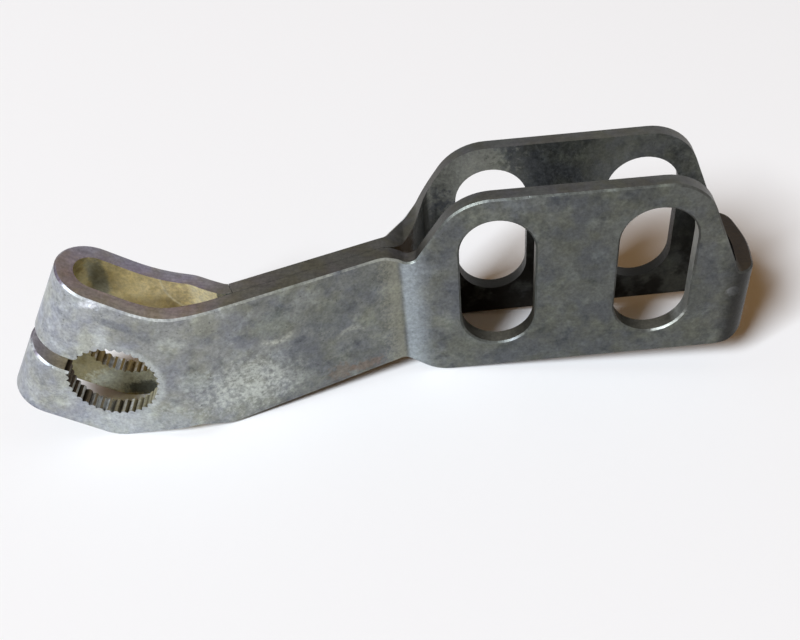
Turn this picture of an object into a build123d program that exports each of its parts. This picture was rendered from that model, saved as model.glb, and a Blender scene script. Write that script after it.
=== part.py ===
from build123d import *
import math
import os

# Brake arm: one pressed steel strip folded into a closed loop, with two spot welds.
# Arm axes: X along the arm from the hub to the fork, Y across the strip's faces, Z up along its width.
# The front face of the hub is Y = 0 and the bore axis is X = 0, Z = 0.

# Strip
THICKNESS = 2.7
PLY_GAP = 0.06
SEAM_GAP = 0.1
SEAM_X = 19.1

# Hub: two legs and a full round nose, raised towards the free end
HUB_WIDTH = 11.9
HUB_TILT = 32.0
FOLD_TILT = 30.6
NOSE_CENTRE = -8.5
PAST_NOSE = -22.0
HUB_ABOVE = 15.0
HUB_BELOW = -12.2
SLIT_WIDTH = 2.8
SLIT_OFFSET = 0.2

# Serrated bore: the lands at the tooth tips lie on the bore radius
BORE_RADIUS = 6.85
TOOTH_COUNT = 36
GROOVE_DEPTH = 0.45
GROOVE_WIDTH = 0.78

# Plan of the loop
HUB_BEND_X = 10.4
HUB_BEND_RADIUS = 14.0
REAR_LEG_BEND_X = 13.8
REAR_LEG_BEND_RADIUS = 5.0
VALLEY_X = 18.9
VALLEY_RADIUS = 1.5
CREASE_X = 45.47
CREASE_RADIUS = 1.5
FORK_FRONT_Y = 15.0
FORK_WIDTH = 17.16
JOGGLE_FOOT_X = 43.3
JOGGLE_FOOT_RADIUS = 2.5
JOGGLE_TOP_X = 48.4
JOGGLE_TOP_RADIUS = 5.0
WEB_FRONT_X = 102.9
WEB_CROWN_X = 103.9
WEB_REAR_X = 102.3
WEB_CROWN_RADIUS = 20.0
WEB_CORNER_RADIUS = 3.4

# Slots through both fork plates: centre X, centre Z, height
SLOT_WIDTH = 12.2
SLOTS = [(61.35, 2.73, 25.7), (86.69, 3.54, 25.4)]

# Spot welds: X and Z on the front face
NUGGET_RADIUS = 2.9
NUGGET_THICKNESS = 1.6
MARK_RADIUS = 3.2
MARK_DEPTH = 0.2
WELDS = {"hub_side_weld": (25.64, 3.82), "fork_side_weld": (36.97, -4.85)}

# Dents in the front face: X, Z, radius and depth of each shallow hollow
DENTS = [(99.9, -1.6, 1.4, 0.3), (0.95, 16.6, 0.9, 0.3), (1.75, 15.75, 0.8, 0.25)]

# How the arm stands: on the hub's lower corner and the fork's lower corner
REST_TILT = 3.76

# Worn outer edges of the strip
EDGE_BEVEL = 0.3

# Cutting shapes and untrimmed blanks reach this far, well clear of the arm
FAR = 200.0
CLOSE = 0.01

PLY_SLOPE = math.atan2(FORK_FRONT_Y, CREASE_X - HUB_BEND_X)


def offset_corners(points, distance):
    """The corners of an open polyline moved to its left by a distance, with mitred corners."""
    normals = []
    for a, b in zip(points, points[1:]):
        length = math.dist(a, b)
        normals.append(((a[1] - b[1]) / length, (b[0] - a[0]) / length))
    first = (points[0][0] + distance * normals[0][0], points[0][1] + distance * normals[0][1])
    moved = [first]
    for corner, n, m in zip(points[1:-1], normals, normals[1:]):
        scale = distance / (1 + n[0] * m[0] + n[1] * m[1])
        moved.append((corner[0] + scale * (n[0] + m[0]), corner[1] + scale * (n[1] + m[1])))
    last = (points[-1][0] + distance * normals[-1][0], points[-1][1] + distance * normals[-1][1])
    moved.append(last)
    return moved


def bent_path(points, radii):
    """The plan line of the strip's outer face."""
    return FilletPolyline(*points, radius=list(radii))


def strip_plan(points, radii):
    """Plan face of a bent strip from its outer face: the metal lies on the left of the path.

    A radius is that of the outer face. A left bend has the smaller radius inside, a right bend outside.
    """
    inner_radii = []
    for a, b, c, radius in zip(points, points[1:], points[2:], radii):
        turn = (b[0] - a[0]) * (c[1] - b[1]) - (b[1] - a[1]) * (c[0] - b[0])
        inner_radii.append(radius - THICKNESS if turn > 0 else radius + THICKNESS)
    outer = bent_path(points, radii)
    inner = FilletPolyline(*offset_corners(points, THICKNESS), radius=inner_radii)
    start_cap = Line(outer @ 0, inner @ 0)
    end_cap = Line(outer @ 1, inner @ 1)
    return make_face([outer, inner, start_cap, end_cap])


def ply_line_y(x, distance):
    """Y of the line that lies the distance behind the front face of the slanted middle."""
    return (x - HUB_BEND_X) * math.tan(PLY_SLOPE) + distance / math.cos(PLY_SLOPE)


def loop_path():
    """Corners and bend radii of the outer face from the hub's front leg round the fork to the seam."""
    rear_y = FORK_FRONT_Y + FORK_WIDTH
    web_middle_y = FORK_FRONT_Y + FORK_WIDTH / 2
    ply_stack = 2 * THICKNESS + PLY_GAP
    path = [
        (-FAR, 0),
        (HUB_BEND_X, 0),
        (CREASE_X, FORK_FRONT_Y),
        (WEB_FRONT_X, FORK_FRONT_Y),
        (WEB_CROWN_X, web_middle_y),
        (WEB_REAR_X, rear_y),
        (JOGGLE_TOP_X, rear_y),
        (JOGGLE_FOOT_X, ply_line_y(JOGGLE_FOOT_X, ply_stack)),
        (SEAM_X, ply_line_y(SEAM_X, ply_stack)),
    ]
    radii = [
        HUB_BEND_RADIUS,
        CREASE_RADIUS,
        WEB_CORNER_RADIUS,
        WEB_CROWN_RADIUS,
        WEB_CORNER_RADIUS,
        JOGGLE_TOP_RADIUS,
        JOGGLE_FOOT_RADIUS,
    ]
    return path, radii


def rear_leg_path():
    """Corners and bend radii of the rear leg's outer face, which bends on to the front ply at the seam."""
    ply_stack = 2 * THICKNESS + PLY_GAP
    past_seam = (VALLEY_X + CREASE_X) / 2
    path = [
        (past_seam, ply_line_y(past_seam, ply_stack)),
        (VALLEY_X, ply_line_y(VALLEY_X, ply_stack)),
        (REAR_LEG_BEND_X, HUB_WIDTH),
        (-FAR, HUB_WIDTH),
    ]
    return path, [VALLEY_RADIUS, REAR_LEG_BEND_RADIUS]


def rear_leg_plan():
    """The hub's rear leg, cut off square to the front ply at the seam."""
    ply_stack = 2 * THICKNESS + PLY_GAP
    leg = strip_plan(*rear_leg_path())
    seam = Pos(SEAM_X - SEAM_GAP, ply_line_y(SEAM_X, ply_stack)) * Rot(0, 0, math.degrees(PLY_SLOPE))
    return leg & (seam * Rectangle(2 * FAR, 2 * FAR, align=(Align.MAX, Align.CENTER)))


def on_hub(along, across):
    """A point given along the hub's raised axis and square to it, as X and Z."""
    tilt = math.radians(HUB_TILT)
    x = along * math.cos(tilt) + across * math.sin(tilt)
    z = across * math.cos(tilt) - along * math.sin(tilt)
    return (x, z)


def side_profile():
    """The outline of the arm seen from the front, from the end of the nose to the web."""
    corners = [
        (on_hub(PAST_NOSE, HUB_ABOVE), 0),
        ((10.6, 11.05), 25),
        ((43.3, 10.45), 4),
        ((47.6, 7.8), 1.8),
        ((55.4, 19.5), 10),
        ((92.8, 20.8), 8.5),
        ((100.3, 2.5), 1.0),
        ((104.5, 2.5), 0),
        ((104.0, -13.05), 6.5),
        ((50.6, -16.25), 7),
        ((45.3, -12.5), 3),
        ((16.2, -13.75), 5),
        ((11.3, -11.65), 4),
        ((-2.7, -12.7), 6),
        (on_hub(PAST_NOSE, HUB_BELOW), 0),
    ]
    return rounded_outline(corners)


def rounded_outline(corners):
    """A closed face whose corners are given as a point and a rounding radius, 0 for a sharp corner."""
    face = make_face(Polyline(*[point for point, radius in corners], close=True))
    for point, radius in corners:
        if radius > 0:
            corner = face.vertices().sort_by_distance((point[0], point[1], 0))[0]
            face = fillet(corner, radius)
    return face


def sideways(face):
    """A face drawn in X and Z, extruded along Y right through the arm."""
    return extrude(Plane.XZ * face, FAR, both=True)


def fold_frame():
    """A frame at the top of the nose's fold line: its Z runs along the fold, its X towards the bore."""
    tilt = math.radians(FOLD_TILT)
    top = on_hub(NOSE_CENTRE, HUB_ABOVE)
    return Plane(
        origin=(top[0], HUB_WIDTH / 2, top[1]),
        x_dir=(math.cos(tilt), 0, -math.sin(tilt)),
        z_dir=(math.sin(tilt), 0, math.cos(tilt)),
    )


def nose():
    """The full round end of the hub, folded about the fold line."""
    outer = HUB_WIDTH / 2
    half_ring = Circle(outer) - Circle(outer - THICKNESS)
    half_ring &= Rectangle(2 * outer, 2 * outer, align=(Align.MAX, Align.CENTER))
    return extrude(fold_frame() * half_ring, FAR, both=True)


def right_of_fold():
    """The space on the bore's side of the fold line, where the hub's legs are flat."""
    size = 4 * FAR
    return fold_frame() * Box(size, size, size, align=(Align.MIN, Align.CENTER, Align.CENTER))


def serrated_bore():
    """The cutter for the bore: a cylinder with a ring of vee grooves."""
    hole = Circle(BORE_RADIUS)
    inner = BORE_RADIUS - GROOVE_DEPTH
    vee = Polyline(
        (inner, -GROOVE_WIDTH / 2),
        (BORE_RADIUS, -GROOVE_WIDTH / 2),
        (BORE_RADIUS + GROOVE_DEPTH, 0),
        (BORE_RADIUS, GROOVE_WIDTH / 2),
        (inner, GROOVE_WIDTH / 2),
        close=True,
    )
    for index in range(TOOTH_COUNT):
        angle = -HUB_TILT + (index + 0.5) * 360 / TOOTH_COUNT
        hole += Rot(0, 0, angle) * make_face(vee)
    return sideways(hole)


def clamp_slit():
    """The cutter that splits the hub from the nose to the bore."""
    start = on_hub(0, SLIT_OFFSET)
    slot = Rectangle(-PAST_NOSE, SLIT_WIDTH, align=(Align.MAX, Align.CENTER))
    return sideways(Pos(*start) * Rot(0, 0, -HUB_TILT) * slot)


def fork_slots():
    """The cutters for the upright slots in both fork plates."""
    cutters = []
    for x, z, height in SLOTS:
        outline = Pos(x, z) * Rot(0, 0, 90) * SlotOverall(height, SLOT_WIDTH)
        cutters.append(sideways(outline))
    return cutters


def on_ply(x, z, distance):
    """A frame at the distance behind the middle's front face, its Z pointing backwards square to it."""
    back = (-math.sin(PLY_SLOPE), math.cos(PLY_SLOPE), 0)
    front_y = ply_line_y(x, 0)
    origin = (x + distance * back[0], front_y + distance * back[1], z)
    return Plane(origin=origin, x_dir=(math.cos(PLY_SLOPE), math.sin(PLY_SLOPE), 0), z_dir=back)


def nugget(x, z):
    """A weld nugget, a flat round lens half in each ply."""
    start = THICKNESS + PLY_GAP / 2 - NUGGET_THICKNESS / 2
    return extrude(on_ply(x, z, start) * Circle(NUGGET_RADIUS), NUGGET_THICKNESS)


def hollow_cutter(radius, depth):
    """A lens that cuts a shallow round hollow. Its origin is on the surface and its Z points into the metal."""
    ball_radius = (radius ** 2 + depth ** 2) / (2 * depth)
    ball = Pos(0, 0, depth - ball_radius) * Sphere(ball_radius)
    return ball & Cylinder(radius + depth, 4 * depth)


def electrode_marks(x, z):
    """The shallow round marks that the welding electrodes leave on both outer faces."""
    front = on_ply(x, z, 0).location
    rear = on_ply(x, z, 2 * THICKNESS + PLY_GAP).location * Rot(180, 0, 0)
    return [face * hollow_cutter(MARK_RADIUS, MARK_DEPTH) for face in (front, rear)]


def dents():
    """The knocks in the front face: one at the web's front bend and a nick in the hub's upper edge."""
    cutters = []
    for x, z, radius, depth in DENTS:
        face_y = 0 if x < HUB_BEND_X else FORK_FRONT_Y
        cutters.append(Pos(x, face_y, z) * Rot(-90, 0, 0) * hollow_cutter(radius, depth))
    return cutters


def outer_edges(body):
    """The edges round the strip's outer face, apart from the teeth of the bore and the bend lines."""
    paths = [bent_path(*loop_path()), bent_path(*rear_leg_path())]
    fold = fold_frame()
    chosen = []
    for edge in body.edges():
        samples = [edge @ share for share in (0.1, 0.5, 0.9)]
        if any(math.hypot(p.X, p.Z) < BORE_RADIUS + GROOVE_DEPTH + EDGE_BEVEL for p in samples):
            continue
        along = edge % 0.5
        bend_line = max(abs(along.Z), abs(along.dot(fold.z_dir)))
        if bend_line > 1 - CLOSE:
            continue
        local = [fold.to_local_coords(p) for p in samples]
        on_nose = all(p.X < 0 and abs(math.hypot(p.X, p.Y) - HUB_WIDTH / 2) < CLOSE for p in local)
        flat = [Vector(p.X, p.Y, 0) for p in samples]
        on_bends = any(all(path.distance_to(p) < CLOSE for p in flat) for path in paths)
        right = all(p.X > -CLOSE for p in local)
        if on_nose or (on_bends and right):
            chosen.append(edge)
    return chosen


def folded_strip():
    """The whole pressed strip."""
    plan = [strip_plan(*loop_path()), rear_leg_plan()]
    legs = [extrude(face, FAR, both=True) & right_of_fold() for face in plan]
    body = (legs[0] + legs[1] + nose()) & sideways(side_profile())
    body -= clamp_slit()
    for cutter in fork_slots():
        body -= cutter
    body = chamfer(outer_edges(body), EDGE_BEVEL)
    body -= serrated_bore()
    for dent in dents():
        body -= dent
    for x, z in WELDS.values():
        body -= nugget(x, z)
        for mark in electrode_marks(x, z):
            body -= mark
    return body


def stand(shape):
    """Move the origin to the middle of the hub's width and tilt the arm as it stands."""
    return Rot(0, -REST_TILT, 0) * Pos(0, -HUB_WIDTH / 2, 0) * shape


def write(name, shape):
    placed = stand(shape)
    export_step(placed, f"parts/{name}.step")
    box = placed.bounding_box()
    print(name, "solids", len(placed.solids()), "volume", round(placed.volume, 1), box.min, box.max)


os.makedirs("parts", exist_ok=True)
write("folded_strip", folded_strip())
for weld_name, (weld_x, weld_z) in WELDS.items():
    write(weld_name, nugget(weld_x, weld_z))
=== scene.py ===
import math

import bpy
from mathutils import Matrix, Vector


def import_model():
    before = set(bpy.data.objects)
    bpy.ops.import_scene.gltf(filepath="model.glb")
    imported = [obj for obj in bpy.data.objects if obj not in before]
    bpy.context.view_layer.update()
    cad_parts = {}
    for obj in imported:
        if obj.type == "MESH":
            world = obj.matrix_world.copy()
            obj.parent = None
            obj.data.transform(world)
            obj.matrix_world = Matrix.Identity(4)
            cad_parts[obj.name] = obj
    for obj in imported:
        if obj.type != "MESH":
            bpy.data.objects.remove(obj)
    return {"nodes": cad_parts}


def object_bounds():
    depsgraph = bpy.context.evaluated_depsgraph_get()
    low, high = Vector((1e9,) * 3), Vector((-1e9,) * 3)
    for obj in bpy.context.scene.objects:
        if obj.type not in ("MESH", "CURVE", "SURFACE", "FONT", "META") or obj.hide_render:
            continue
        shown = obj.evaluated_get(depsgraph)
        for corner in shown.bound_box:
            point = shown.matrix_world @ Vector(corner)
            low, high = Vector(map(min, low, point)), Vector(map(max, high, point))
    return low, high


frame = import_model()
cad_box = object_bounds()

MM = 0.001

# The arm's own axes, in millimetres: X runs from the hub to the fork, Y back from the hub's front face
# and Z up along the strip's width, from the bore's centre. The arm stands tilted by its rest tilt.
REST_TILT = math.radians(3.76)
HALF_HUB = 5.95
HUB_TILT = math.radians(32.0)
FOLD_TILT = math.radians(30.6)
NOSE_FOLD = -8.5
STRIP = 2.7
HUB_BEND = 10.4
CREASE = 45.47
MIDDLE_SLOPE = 15.0 / (CREASE - HUB_BEND)
REAR_LEG_TURN = 13.2
REAR_LEG_SLOPE = -0.51
HOLLOW_END = 19.4
HOLLOW_ROUND = 4.4
WEB_START = 99.0
PLATES_START, PLATES_END = 49.0, 98.5
SLOTS_START, SLOTS_END = 54.0, 94.0
SLOTS_FOOT, SLOTS_TOP = -11.0, 17.0
HUB_EDGE_END = 12.0
TEETH_END = 7.5

# A bevel turns partly towards an axis, 0 to 1: more than the first limit and less than the second, each
# given as where it starts to count and where it counts in full
BEVEL_FROM = (0.35, 0.5)
BEVEL_TO = (0.92, 0.82)

# The faces' colour along the arm, in millimetres, and the range over which the drift clouds move it
FACE_COLOURS = [(-20, "#A0A3A5"), (-2, "#A8ABAC"), (8, "#919391"), (16, "#8B8D8B"), (30, "#767875"),
                (44, "#6F716E"), (54, "#656765"), (75, "#585A57"), (106, "#5E5F5A")]
DRIFT = 14.0

# The painted highlight on one side of each weld's electrode mark: the mark's centre, the strength, the
# heights where the highlight starts and is full, and its colour
MARK_RADIUS = 3.1
MARK_RIM = 0.9
MARK_RIM_HIGHLIGHTS = [
    ((25.64, 6.52, 3.82), 0.55, (2.6, 0.6), "#C2C4B6"),
    ((36.97, 11.36, -4.85), 0.45, (-3.6, -1.8), "#A8AA9F"),
]

# Spots on the faces, bottom first: the axes they are placed in, their centre and their reach along each
# axis in millimetres, their strength, how ragged they are, and their colour
FACE_SPOTS = [
    ("arm", (2.0, 0.0, -9.5), (9.0, 3.0, 3.0), 0.30, 0.80, "#BEC4C5"),      # pale under the bore
    ("arm", (12.5, 1.0, -2.0), (2.6, 3.0, 2.0), 0.35, 0.70, "#B4BBB8"),     # pale beside the bore
    ("arm", (25.3, 6.4, 4.6), (3.0, 3.0, 2.6), 0.35, 0.50, "#8E948C"),      # pale on the first weld's mark
    ("arm", (29.0, 8.0, -4.5), (4.0, 4.0, 4.0), 0.40, 0.35, "#5A5D62"),     # dark left of the second mark
    ("arm", (33.5, 9.8, 2.0), (3.5, 3.0, 3.0), 0.30, 0.60, "#5E625E"),      # dark above the second mark
    ("arm", (34.4, 10.2, -10.4), (2.0, 3.0, 1.5), 0.45, 0.90, "#756557"),   # rust near the lower edge
    ("arm", (38.6, 12.0, -10.9), (2.8, 3.0, 1.0), 0.45, 0.90, "#7B6556"),   # more rust beside it
    ("hub", (-3.2, 0.0, 11.9), (3.0, 3.0, 0.8), 0.60, 0.40, "#6A6E78"),     # dark streak near the top edge
    ("arm", (1.2, 0.0, 16.2), (1.7, 1.6, 0.8), 0.90, 0.30, "#DADEE4"),      # painted highlight on that knock's bare metal
    ("arm", (99.9, 15.2, -1.4), (1.1, 1.5, 0.9), 0.70, 0.30, "#8E9090"),    # painted highlight in the web's knock
]

# Spots inside the hub, in the arm's axes, bottom first: centre, reach, strength and colour
HUB_SPOTS = [
    ((-0.6, 9.2, 13.5), (1.4, 2.0, 4.5), 0.70, "#8A918A"),      # grey band near the nose
    ((-1.5, 9.2, -8.8), (6.5, 2.0, 3.0), 0.90, "#CDD3C6"),      # bare pale zinc seen through the bore
    ((6.5, 9.2, -7.4), (3.4, 2.0, 2.2), 0.70, "#4C4F45"),       # painted shade to the right of it
    ((0.6, 9.2, -11.0), (3.6, 2.0, 1.8), 0.85, "#3C4242"),      # painted shade low in the hub
]

# The camera: close in front of the arm and above it
CAMERA_PLACE = Vector((46.12, -109.73, 107.47))
CAMERA_AIM = Vector((45.01, 7.95, 0.21))
CAMERA_ROLL = math.radians(0.66)
LENS = 42.84

# The room and the table: its half side and the distances between which it fades to the room's white, in
# millimetres, and the middle of the arm, which the lamp faces
ROOM_WHITE = "#F6F6F7"
TABLE_HALF = 8000
TABLE_FADE = (400, 1500)
LIT_MIDDLE = Vector((45, 8, 0))


def linear(code):
    """A hex sRGB colour as linear red, green, blue and alpha."""
    parts = [int(code[k:k + 2], 16) / 255 for k in (1, 3, 5)]
    return [c / 12.92 if c <= 0.04045 else ((c + 0.055) / 1.055) ** 2.4 for c in parts] + [1.0]


def add(tree, kind, inputs=None, out=0, **settings):
    """Adds one node with its settings, its input values and the links into it, and gives one output."""
    made = tree.nodes.new("ShaderNode" + kind)
    for name, value in settings.items():
        setattr(made, name, value)
    for key, value in (inputs or {}).items():
        if isinstance(value, bpy.types.NodeSocket):
            tree.links.new(value, made.inputs[key])
        else:
            made.inputs[key].default_value = value
    return made.outputs[out] if made.outputs else None


def region(tree, *limits):
    """How far a point lies inside every limit, 0 to 1.

    A limit is a value, where it starts and where it is full.
    """
    share = 1.0
    for value, start, full in limits:
        inside = add(tree, "MapRange", {"Value": value, "From Min": start, "From Max": full},
                     interpolation_type="SMOOTHSTEP")
        share = add(tree, "Math", {0: share, 1: inside}, operation="MULTIPLY")
    return share


def cloud(tree, place, size, low, high, seed, detail=3.0):
    """Blotches about as wide as the size in millimetres, 0 below the low value and 1 above the high one."""
    noise = add(tree, "TexNoise", {"Vector": place, "W": seed, "Scale": 1 / size, "Detail": detail,
                                   "Roughness": 0.6}, noise_dimensions="4D")
    return region(tree, (noise, low, high))


def spot(tree, place, centre, reach, strength, ragged=0.35, soft=0.35):
    """A worn or stained spot with a ragged outline, by its centre and its reach along each axis."""
    offset = add(tree, "VectorMath", {0: place, 1: centre}, operation="SUBTRACT")
    scaled = add(tree, "VectorMath", {0: offset, 1: [1 / r for r in reach]}, operation="MULTIPLY")
    distance = add(tree, "VectorMath", {0: scaled}, out="Value", operation="LENGTH")
    noise = add(tree, "TexNoise", {"Vector": place, "Scale": 1.2, "Detail": 4.0, "Roughness": 0.7})
    torn = add(tree, "Math", {0: noise, 1: 4 * ragged, 2: -2 * ragged}, operation="MULTIPLY_ADD")
    torn = add(tree, "Math", {0: distance, 1: torn}, operation="ADD")
    share = region(tree, (torn, 1 + soft, 1 - soft))
    return add(tree, "Math", {0: share, 1: strength}, operation="MULTIPLY")


def ring(tree, place, centre, radius, width, strength):
    """A thin ring on a face, rubbed or scratched, by its centre, radius and width in millimetres."""
    offset = add(tree, "VectorMath", {0: place, 1: centre}, operation="SUBTRACT")
    distance = add(tree, "VectorMath", {0: offset}, out="Value", operation="LENGTH")
    share = region(tree, (distance, radius - width, radius), (distance, radius + width, radius))
    return add(tree, "Math", {0: share, 1: strength}, operation="MULTIPLY")


def from_bore_axis(tree, place):
    """A point's distance from the bore's axis, in millimetres."""
    across = add(tree, "VectorMath", {0: place, 1: (1, 0, 1)}, operation="MULTIPLY")
    return add(tree, "VectorMath", {0: across}, out="Value", operation="LENGTH")


def along(tree, value, stops):
    """A colour that changes with a value: stops are places in millimetres with their hex colours."""
    start, end = stops[0][0], stops[-1][0]
    share = add(tree, "MapRange", {"Value": value, "From Min": start, "From Max": end})
    colour = add(tree, "ValToRGB", {0: share})
    ramp = colour.node.color_ramp
    for place, code in stops[1:-1]:
        ramp.elements.new((place - start) / (end - start)).color = linear(code)
    ramp.elements[0].color = linear(stops[0][1])
    ramp.elements[-1].color = linear(stops[-1][1])
    return colour


def layered(tree, colour, layers):
    """Colours laid over one another: each layer is a share, a colour and how it mixes."""
    for share, code, blend in layers:
        top = linear(code) if isinstance(code, str) else code
        colour = add(tree, "Mix", {0: share, 6: colour, 7: top}, out=2, data_type="RGBA", blend_type=blend)
    return colour


def new_material(name):
    material = bpy.data.materials.new(name)
    material.use_nodes = True
    material.node_tree.nodes.clear()
    return material, material.node_tree


def in_arm_axes(tree):
    """The place in millimetres and the facing of a point, in the arm's own axes."""
    coords = add(tree, "TexCoord", out="Object")
    level = add(tree, "VectorRotate", {"Vector": coords, "Angle": REST_TILT}, rotation_type="Y_AXIS")
    place = add(tree, "VectorMath", {0: level, 1: [1 / MM] * 3, 2: [0, HALF_HUB, 0]},
                operation="MULTIPLY_ADD")
    facing = add(tree, "VectorRotate", {"Vector": coords.node.outputs["Normal"], "Angle": REST_TILT},
                 rotation_type="Y_AXIS")
    return place, facing


def cut_edges(tree, place, facing):
    """Where the strip's sheared edges are, and where their outer corners are rubbed."""
    x = add(tree, "SeparateXYZ", {0: place})
    along_hub = add(tree, "VectorMath", {0: place, 1: (math.cos(HUB_TILT), 0, -math.sin(HUB_TILT))},
                    out="Value", operation="DOT_PRODUCT")
    sizes = add(tree, "VectorMath", {0: facing}, operation="ABSOLUTE")
    sideways = add(tree, "SeparateXYZ", {0: sizes})
    back, up = sideways.node.outputs[1], sideways.node.outputs[2]
    on_fold = add(tree, "VectorMath", {0: facing, 1: (math.sin(FOLD_TILT), 0, math.cos(FOLD_TILT))},
                  out="Value", operation="DOT_PRODUCT")
    on_fold = add(tree, "Math", {0: on_fold}, operation="ABSOLUTE")

    # Cut edges face neither the front nor the rear. The skin of the nose and of the web does that too.
    nose_skin = region(tree, (along_hub, NOSE_FOLD + 0.3, NOSE_FOLD - 0.1), (on_fold, 0.40, 0.25))
    web_skin = region(tree, (x, WEB_START - 0.3, WEB_START), (up, 0.35, 0.25))
    skin = add(tree, "Math", {0: nose_skin, 1: web_skin}, operation="MAXIMUM")
    not_skin = add(tree, "Math", {0: 1.0, 1: skin}, operation="SUBTRACT")
    cut = add(tree, "Math", {0: region(tree, (back, 0.25, 0.12)), 1: not_skin}, operation="MULTIPLY")

    # Bevels face between two axes: on the hub, on the edges further along, and on the plates' upright edges
    on_hub_edge = region(tree, (x, HUB_EDGE_END, HUB_EDGE_END - 1), (on_fold, 0.45, 0.6),
                         (on_fold, *BEVEL_TO))
    further = region(tree, (x, HUB_EDGE_END - 1, HUB_EDGE_END), (up, 0.35, 0.55), (up, *BEVEL_TO),
                     (back, *BEVEL_FROM))
    upright = region(tree, (x, PLATES_START, PLATES_START + 1), (x, PLATES_END, PLATES_END - 0.5),
                     (sideways, *BEVEL_FROM), (back, *BEVEL_TO), (back, *BEVEL_FROM))
    rubbed = add(tree, "Math", {0: on_hub_edge, 1: further}, operation="MAXIMUM")
    rubbed = add(tree, "Math", {0: rubbed, 1: upright}, operation="MAXIMUM")
    return cut, rubbed


def inside_hub(tree, place, along_hub):
    """The faces inside the hub: behind the front leg and ply, before the rear leg, within the nose."""
    x = add(tree, "SeparateXYZ", {0: place})
    y = x.node.outputs[1]
    past_bend = add(tree, "Math", {0: x, 1: HUB_BEND}, operation="SUBTRACT")
    past_bend = add(tree, "Math", {0: past_bend, 1: 0.0}, operation="MAXIMUM")
    front_line = add(tree, "Math", {0: past_bend, 1: MIDDLE_SLOPE, 2: STRIP - 0.25},
                     operation="MULTIPLY_ADD")
    past_turn = add(tree, "Math", {0: x, 1: REAR_LEG_TURN}, operation="SUBTRACT")
    past_turn = add(tree, "Math", {0: past_turn, 1: 0.0}, operation="MAXIMUM")
    rear_line = add(tree, "Math", {0: past_turn, 1: REAR_LEG_SLOPE, 2: 2 * HALF_HUB - STRIP + 0.25},
                    operation="MULTIPLY_ADD")
    behind_front = add(tree, "Math", {0: y, 1: front_line}, operation="SUBTRACT")
    before_rear = add(tree, "Math", {0: rear_line, 1: y}, operation="SUBTRACT")
    past_fold = add(tree, "Math", {0: along_hub, 1: NOSE_FOLD}, operation="SUBTRACT")
    past_fold = add(tree, "Math", {0: past_fold, 1: 0.0}, operation="MINIMUM")
    off_middle = add(tree, "Math", {0: y, 1: HALF_HUB}, operation="SUBTRACT")
    from_fold = add(tree, "CombineXYZ", {0: past_fold, 1: off_middle})
    from_fold = add(tree, "VectorMath", {0: from_fold}, out="Value", operation="LENGTH")
    in_nose = region(tree, (from_fold, HOLLOW_ROUND + 0.4, HOLLOW_ROUND))
    in_middle = region(tree, (along_hub, NOSE_FOLD - 0.05, NOSE_FOLD + 0.05))
    within = add(tree, "Math", {0: in_nose, 1: in_middle}, operation="MAXIMUM")
    between = region(tree, (behind_front, -0.05, 0.0), (before_rear, -0.05, 0.0),
                     (x, HOLLOW_END, HOLLOW_END - 0.4))
    return add(tree, "Math", {0: within, 1: between}, operation="MULTIPLY")


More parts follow.
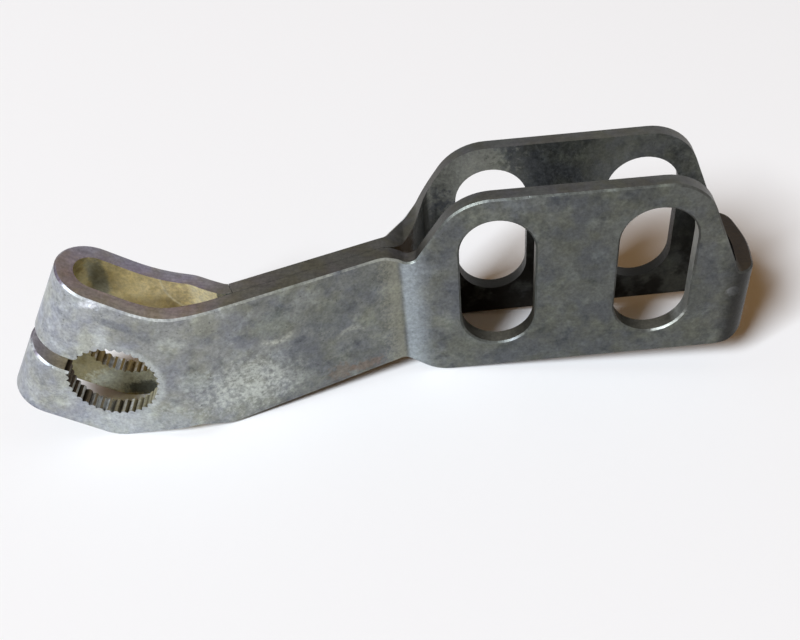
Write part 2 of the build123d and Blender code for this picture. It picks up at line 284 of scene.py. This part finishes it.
def pressed_faces(tree, place, facing, on_hub, patterns):
    """The strip's rolled faces: satin grey, pale at the hub and gunmetal at the fork."""
    x = add(tree, "SeparateXYZ", {0: place})
    y, z = x.node.outputs[1], x.node.outputs[2]
    shifted = add(tree, "Math", {0: patterns["drift"], 1: DRIFT, 2: x}, operation="MULTIPLY_ADD")
    shifted = add(tree, "Math", {0: shifted, 1: DRIFT / 2}, operation="SUBTRACT")
    faces = layered(tree, along(tree, shifted, FACE_COLOURS), [
        (patterns["violet"], (0.83, 0.84, 0.93, 1.0), "MULTIPLY"),
        (patterns["olive"], (0.98, 0.97, 0.87, 1.0), "MULTIPLY"),
        (patterns["pale"], (1.42, 1.45, 1.40, 1.0), "MULTIPLY"),
        (patterns["dark"], (0.55, 0.57, 0.62, 1.0), "MULTIPLY"),
    ])

    # A pale grainy bloom low down between the bore and the welds, and a painted highlight on the bore's rim
    # beside it
    grainy = region(tree, (patterns["grain"], -0.5, 1.0))
    bloom = spot(tree, place, (20.0, 4.2, -6.4), (8.5, 5.0, 4.6), 0.75, ragged=0.5, soft=0.6)
    bloom = add(tree, "Math", {0: bloom, 1: grainy}, operation="MULTIPLY")
    bore_rim_highlight = region(tree, (from_bore_axis(tree, place), 8.6, 7.6), (x, 1.0, 5.0), (y, 3.0, 2.0))
    bore_rim_highlight = add(tree, "Math", {0: bore_rim_highlight, 1: 0.6}, operation="MULTIPLY")
    faces = layered(tree, faces, [(bloom, "#BFC3BC", "MIX"), (bore_rim_highlight, "#BBC0BE", "MIX")])

    for axes, centre, reach, strength, ragged, code in FACE_SPOTS:
        stain = spot(tree, on_hub if axes == "hub" else place, centre, reach, strength, ragged)
        faces = layered(tree, faces, [(stain, code, "MIX")])

    # The press line: grainy and pale before the crease, its paleness partly painted light on the facet that
    # faces the lamp, and a smooth bluish painted sheen after it
    crease_side = add(tree, "Math", {0: patterns["crystals"], 1: 1.5, 2: x}, operation="MULTIPLY_ADD")
    before = region(tree, (crease_side, 42.0, 45.5), (x, CREASE + 0.3, CREASE - 0.5))
    before = add(tree, "Math", {0: before, 1: 0.6}, operation="MULTIPLY")
    painted_sheen_past_crease = region(tree, (x, CREASE, CREASE + 0.8), (x, 51.0, 46.5))
    painted_sheen_past_crease = add(tree, "Math", {0: painted_sheen_past_crease, 1: 0.8}, operation="MULTIPLY")
    faces = layered(tree, faces, [(before, "#8B8A7A", "MIX"), (painted_sheen_past_crease, "#9CA4A9", "MIX")])

    # A painted highlight on one side of each weld mark's rim
    for centre, strength, heights, code in MARK_RIM_HIGHLIGHTS:
        rim = ring(tree, place, centre, MARK_RADIUS, MARK_RIM, strength)
        rim = add(tree, "Math", {0: rim, 1: region(tree, (z, *heights))}, operation="MULTIPLY")
        rim = add(tree, "Math", {0: rim, 1: grainy}, operation="MULTIPLY")
        faces = layered(tree, faces, [(rim, code, "MIX")])
    pitted = add(tree, "Math", {0: patterns["pits"], 1: 0.45}, operation="MULTIPLY")
    faces = layered(tree, faces, [(pitted, "#3A3C3C", "MIX")])

    # Painted shade, with some dirt, on the faces that look into the gap between the plates: rust brown with
    # painted shade in the notch where they part, blacker the lower it lies, and thinner on the olive clouds
    backward = add(tree, "SeparateXYZ", {0: facing}).node.outputs[1]
    in_gap = add(tree, "Math", {0: region(tree, (backward, 0.5, 0.2)), 1: region(tree, (y, 18.2, 17.9))},
                 operation="MAXIMUM")
    rust_and_shade_notch = add(tree, "Math", {0: spot(tree, place, (47.5, 19.0, 6.0), (5.0, 5.0, 6.5), 0.9),
                               1: region(tree, (y, 16.5, 17.6))}, operation="MULTIPLY")
    rust_and_shade_notch = add(tree, "Math", {0: rust_and_shade_notch, 1: in_gap}, operation="MULTIPLY")
    low = region(tree, (y, 17.0, 17.5), (y, 30.0, 29.6), (x, 47.0, 52.0), (z, 12.0, -6.0),
                 (in_gap, 0.0, 1.0))
    low = add(tree, "Math", {0: low, 1: region(tree, (patterns["olive"], 2.4, 0.0))}, operation="MULTIPLY")

    # A dull pale patch on the rear plate's shoulder, and painted shade on the web
    dull = spot(tree, place, (55.0, 29.4, 17.0), (8.0, 3.0, 8.0), 0.6, ragged=0.8)
    painted_shade_on_web = add(tree, "Math", {0: region(tree, (x, 97.4, 100.8)), 1: 0.88}, operation="MULTIPLY")
    return layered(tree, faces, [(dull, "#8A8B82", "MIX"), (rust_and_shade_notch, "#4A3719", "MIX"),
                                 (low, "#1A1712", "MIX"), (painted_shade_on_web, "#23211F", "MIX")])


def sheared_edges(tree, place, on_hub, patterns):
    """The cut edges: violet-brown oxide, greyer with painted light in the clamp slit, with bright tips on
    the bore's teeth.
    """
    x = add(tree, "SeparateXYZ", {0: place})
    y, z = x.node.outputs[1], x.node.outputs[2]
    round_hub = along(tree, y, [(0, "#7C756A"), (4, "#756966"), (8, "#766D72"), (12, "#807F88")])
    down_arm = along(tree, x, [(12, "#6A6660"), (26, "#4B4942"), (46, "#444340"), (56, "#444543"),
                               (94, "#474744"), (100, "#2C2316"), (106, "#2A2218")])
    edges = layered(tree, round_hub, [(region(tree, (x, 12.0, 20.0)), down_arm, "MIX")])

    # The slots' walls carry painted shade, darker in the rear plate. In the front one the far slot's far
    # wall is painted pale as painted light.
    in_slots = region(tree, (x, SLOTS_START, SLOTS_START + 0.6), (x, SLOTS_END, SLOTS_END - 0.6),
                      (z, SLOTS_FOOT, SLOTS_FOOT + 0.5), (z, SLOTS_TOP, SLOTS_TOP - 0.5))
    slot_walls_and_shade = along(tree, y, [(14, "#5A5850"), (18, "#4A4840"), (29, "#12110D"), (33, "#1B1914")])
    far_wall_painted_light = region(tree, (x, 90.4, 91.8), (x, SLOTS_END, SLOTS_END - 0.5), (y, 19.0, 18.5),
                      (z, SLOTS_FOOT, SLOTS_FOOT + 3.0), (z, SLOTS_TOP - 1.0, SLOTS_TOP - 3.0))

    along_hub = add(tree, "SeparateXYZ", {0: on_hub})
    across_hub = add(tree, "Math", {0: along_hub.node.outputs[2]}, operation="ABSOLUTE")
    # The clamp slit's walls: grey, painted lighter as painted light where the lamp does not reach
    in_slit = region(tree, (along_hub, -6.5, -7.5), (across_hub, 2.2, 1.9))
    slit_walls_painted_light = along(tree, along_hub, [(-17, "#8E8A96"), (-11, "#B3AFB2"), (-7, "#BDB59C")])

    # The bore's teeth: silver tips over painted brown shade in the grooves, painted lighter towards the
    # right-hand teeth, browner in the rear leg
    from_axis = from_bore_axis(tree, place)
    teeth = region(tree, (from_axis, TEETH_END + 0.2, TEETH_END))
    front_teeth = along(tree, x, [(-7, "#5D5451"), (-2, "#837F78"), (3, "#B0B1AB"), (7, "#C9CBC8")])
    groove_painted_shade = along(tree, from_axis, [(6.8, "#C8C3AE"), (7.0, "#8C8878"), (7.3, "#4E4534")])
    bore_wall = layered(tree, front_teeth, [
        (1.0, groove_painted_shade, "MULTIPLY"),
        (1.0, (1.9, 1.9, 1.9, 1.0), "MULTIPLY"),
        (region(tree, (y, 8.0, 9.0)), "#6C5C39", "MIX"),
    ])
    return layered(tree, edges, [
        (patterns["olive"], (0.95, 0.92, 0.76, 1.0), "MULTIPLY"),
        (patterns["violet"], (0.93, 0.89, 0.97, 1.0), "MULTIPLY"),
        (patterns["streaks"], (1.22, 1.20, 1.20, 1.0), "MULTIPLY"),
        (patterns["dark"], (0.80, 0.78, 0.78, 1.0), "MULTIPLY"),
        (in_slots, slot_walls_and_shade, "MIX"),
        (far_wall_painted_light, "#9A9B96", "MIX"),
        (in_slit, slit_walls_painted_light, "MIX"),
        (teeth, bore_wall, "MIX"),
    ])


def kept_chromate(tree, place, patterns):
    """The hub's inside: yellow chromate out of the weather, darker towards the nose, with painted shade low
    down.

    One curved scratch shows on the rear leg.
    """
    x = add(tree, "SeparateXYZ", {0: place})
    z = x.node.outputs[2]
    gold = along(tree, x, [(-12, "#7A7860"), (-2, "#BDB28A"), (4, "#DACC9C"), (10, "#EFE3BC"),
                           (18, "#F6EFD2")])
    scratch = add(tree, "Math", {0: ring(tree, place, (15.5, 9.2, 12.3), 6.7, 0.35, 0.6),
                                 1: region(tree, (x, 8.3, 8.8), (x, 12.2, 11.6))}, operation="MULTIPLY")
    # Painted shade: darker brown the lower it lies on the rear leg
    brown = region(tree, (z, 10.6, 8.0), (z, 3.0, 5.0), (x, -5.0, -2.0), (x, 13.0, 9.0))
    brown = add(tree, "Math", {0: brown, 1: 0.65}, operation="MULTIPLY")
    spots = [(spot(tree, place, centre, reach, strength), code, "MIX")
             for centre, reach, strength, code in HUB_SPOTS]
    return layered(tree, gold, [
        (patterns["pale"], (1.22, 1.23, 1.30, 1.0), "MULTIPLY"),
        (patterns["dark"], (0.66, 0.61, 0.48, 1.0), "MULTIPLY"),
        (patterns["grain"], (0.90, 0.88, 0.79, 1.0), "MULTIPLY"),
        (brown, "#6F5A28", "MIX"),
        *spots,
        (scratch, "#E8E3CE", "MIX"),
    ])


def worn_zinc():
    """Electroplated zinc on pressed steel sheet, gone dull with age.

    It gives the eye a satin grey metal with soft clouds, pale at the hub and gunmetal at the fork. The
    sheared edges are violet-brown, with rubbed corners that are brightest on the hub, and the hub keeps its
    yellow chromate inside. The oxide film keeps the surface from being fully metallic.
    """
    material, tree = new_material("worn_zinc_plated_sheet")
    place, facing = in_arm_axes(tree)
    x = add(tree, "SeparateXYZ", {0: place})
    on_hub = add(tree, "VectorRotate", {"Vector": place, "Angle": -HUB_TILT}, rotation_type="Y_AXIS")
    along_hub = add(tree, "SeparateXYZ", {0: on_hub})

    # Soft clouds of 3 to 9 mm, grain of 1 mm, zinc crystals of half a millimetre that show as a fine
    # speckle, streaks 8 mm long that the shears left, and pits drawn a little large to show
    stretched = add(tree, "VectorMath", {0: place, 1: (0.25, 3.0, 0.25)}, operation="MULTIPLY")
    patterns = {
        "drift": cloud(tree, place, 9.0, 0.30, 0.70, 3.0),
        "violet": cloud(tree, place, 5.5, 0.42, 0.62, 11.0),
        "olive": cloud(tree, place, 4.5, 0.42, 0.62, 23.0),
        "pale": cloud(tree, place, 3.5, 0.48, 0.72, 37.0, detail=6.0),
        "dark": cloud(tree, place, 3.0, 0.50, 0.74, 41.0, detail=6.0),
        "grain": cloud(tree, place, 1.0, 0.35, 0.65, 29.0, detail=4.0),
        "crystals": cloud(tree, place, 0.45, 0.30, 0.70, 5.0),
        "streaks": cloud(tree, stretched, 2.0, 0.40, 0.65, 53.0, detail=4.0),
        "pits": cloud(tree, place, 0.5, 0.67, 0.74, 67.0, detail=1.0),
    }
    cut, rubbed = cut_edges(tree, place, facing)
    faces = pressed_faces(tree, place, facing, on_hub, patterns)
    edges = sheared_edges(tree, place, on_hub, patterns)
    gold = kept_chromate(tree, place, patterns)

    # The corners: violet-brown round the nose, and a painted highlight at the foot of the far slot
    corners = along(tree, x, [(-18, "#C4C8CC"), (10, "#BABDBB"), (20, "#8A8B84"), (45, "#999A92"),
                              (47, "#50524E"), (60, "#4E504C"), (75, "#4A4B47"), (104, "#454440")])
    corners = layered(tree, corners, [
        (region(tree, (along_hub, -9.5, -12.5)), "#5E5760", "MIX"),
        (spot(tree, place, (90.2, 15.0, -7.2), (3.4, 2.0, 3.4), 0.7), "#A0A29C", "MIX"),
    ])
    worn_off = add(tree, "Math", {0: rubbed, 1: cloud(tree, place, 4.0, 0.35, 0.60, 71.0)},
                   operation="MULTIPLY")
    colour = layered(tree, faces, [(inside_hub(tree, place, along_hub), gold, "MIX"), (cut, edges, "MIX"),
                                   (worn_off, corners, "MIX")])
    shade = add(tree, "MapRange", {"Value": patterns["crystals"], "To Min": 0.82, "To Max": 1.14})
    colour = add(tree, "VectorMath", {0: colour, "Scale": shade}, operation="SCALE")
    shade = add(tree, "MapRange", {"Value": patterns["grain"], "To Min": 0.90, "To Max": 1.10})
    colour = add(tree, "VectorMath", {0: colour, "Scale": shade}, operation="SCALE")

    # The relief: raised clouds and crystals, with the pits sunk into them
    relief = add(tree, "Math", {0: patterns["crystals"], 1: 0.25, 2: patterns["pale"]},
                 operation="MULTIPLY_ADD")
    relief = add(tree, "Math", {0: patterns["pits"], 1: -0.6, 2: relief}, operation="MULTIPLY_ADD")
    bump = add(tree, "Bump", {"Strength": 0.3, "Distance": 0.08 * MM, "Height": relief})
    rough = add(tree, "MapRange", {"Value": patterns["crystals"], "To Min": 0.38, "To Max": 0.50})
    shader = add(tree, "BsdfPrincipled", {"Base Color": colour, "Metallic": 0.88, "Roughness": rough,
                                          "Normal": bump})
    add(tree, "OutputMaterial", {"Surface": shader})
    return material


def weld_steel():
    """The weld nuggets: bare fused steel between the plies, a plain dull grey-brown."""
    material, tree = new_material("fused_weld_steel")
    place, _ = in_arm_axes(tree)
    colour = layered(tree, linear("#5A5654"), [(cloud(tree, place, 1.2, 0.3, 0.7, 2.0), "#7A7673", "MIX")])
    shader = add(tree, "BsdfPrincipled", {"Base Color": colour, "Metallic": 1.0, "Roughness": 0.5})
    add(tree, "OutputMaterial", {"Surface": shader})
    return material


def dress(node_name, material):
    """Gives a node of the frame its finish."""
    node = frame["nodes"][node_name]
    node.data.materials.clear()
    node.data.materials.append(material)


def white_table():
    """A smooth white laminate table top: a pale, almost matt ground that keeps the soft shadow.

    Far from the arm the camera sees it fade to the room's white, so that no horizon shows.
    """
    material, tree = new_material("white_laminate_table")
    shader = add(tree, "BsdfPrincipled", {"Base Color": linear("#F3F3F3"), "Roughness": 0.8,
                                          "Specular IOR Level": 0.05})
    coords = add(tree, "TexCoord", out="Object")
    distance = add(tree, "VectorMath", {0: coords}, out="Value", operation="LENGTH")
    start, full = TABLE_FADE
    far = add(tree, "Math", {0: region(tree, (distance, start * MM, full * MM)),
                             1: add(tree, "LightPath", out="Is Camera Ray")}, operation="MULTIPLY")
    room = add(tree, "Emission", {"Color": linear(ROOM_WHITE)})
    both = add(tree, "MixShader", {0: far, 1: shader, 2: room})
    add(tree, "OutputMaterial", {"Surface": both})
    return material


def floor():
    """The table top under the arm."""
    half = TABLE_HALF * MM
    level = cad_box[0][2]
    corners = [(-half, -half, level), (half, -half, level), (half, half, level), (-half, half, level)]
    mesh = bpy.data.meshes.new("table_top")
    mesh.from_pydata(corners, [], [(0, 1, 2, 3)])
    table = bpy.data.objects.new("table_top", mesh)
    bpy.context.scene.collection.objects.link(table)
    table.data.materials.append(white_table())


def lamp(name, toward, distance, size, watts, colour):
    """A square soft light in a direction from the arm's middle, its distance and size in millimetres."""
    data = bpy.data.lights.new(name, "AREA")
    data.size = size * MM
    data.energy = watts
    data.color = linear(colour)[:3]
    light = bpy.data.objects.new(name, data)
    light.location = (LIT_MIDDLE + Vector(toward).normalized() * distance) * MM
    light.rotation_euler = (-Vector(toward)).to_track_quat("-Z", "Y").to_euler()
    bpy.context.scene.collection.objects.link(light)


def world():
    """A pale room all round: white where it is seen or mirrored, and a weak warm light on what is matt."""
    made = bpy.data.worlds.new("pale_room")
    made.use_nodes = True
    tree = made.node_tree
    tree.nodes.clear()
    path = add(tree, "LightPath").node
    seen = add(tree, "Math", {0: path.outputs["Is Camera Ray"], 1: path.outputs["Is Glossy Ray"]},
               operation="MAXIMUM")
    seen = add(tree, "Math", {0: seen, 1: path.outputs["Is Transmission Ray"]}, operation="MAXIMUM")
    light = add(tree, "Background", {"Color": linear("#E8B880"), "Strength": 0.22})
    view = add(tree, "Background", {"Color": linear(ROOM_WHITE), "Strength": 1.0})
    both = add(tree, "MixShader", {0: seen, 1: light, 2: view})
    add(tree, "OutputWorld", {"Surface": both})
    bpy.context.scene.world = made


def camera():
    """The view: from the front, looking down on the arm."""
    data = bpy.data.cameras.new("view")
    data.lens = LENS
    data.sensor_width = 36.0
    data.clip_start = 1 * MM
    made = bpy.data.objects.new("view", data)
    ahead = (CAMERA_AIM - CAMERA_PLACE).normalized()
    level = ahead.to_track_quat("-Z", "Y").to_matrix()
    turn = Matrix.Rotation(CAMERA_ROLL, 3, ahead)
    made.matrix_world = Matrix.Translation(CAMERA_PLACE * MM) @ (turn @ level).to_4x4()
    bpy.context.scene.collection.objects.link(made)
    bpy.context.scene.camera = made


dress("folded_strip", worn_zinc())
welds = weld_steel()
dress("hub_side_weld", welds)
dress("fork_side_weld", welds)

floor()
world()
camera()
lamp("window", toward=(-0.86, -0.86, 1.0), distance=6000, size=1900, watts=585.0, colour="#EBF2FA")
bpy.context.scene.view_settings.view_transform = "Standard"
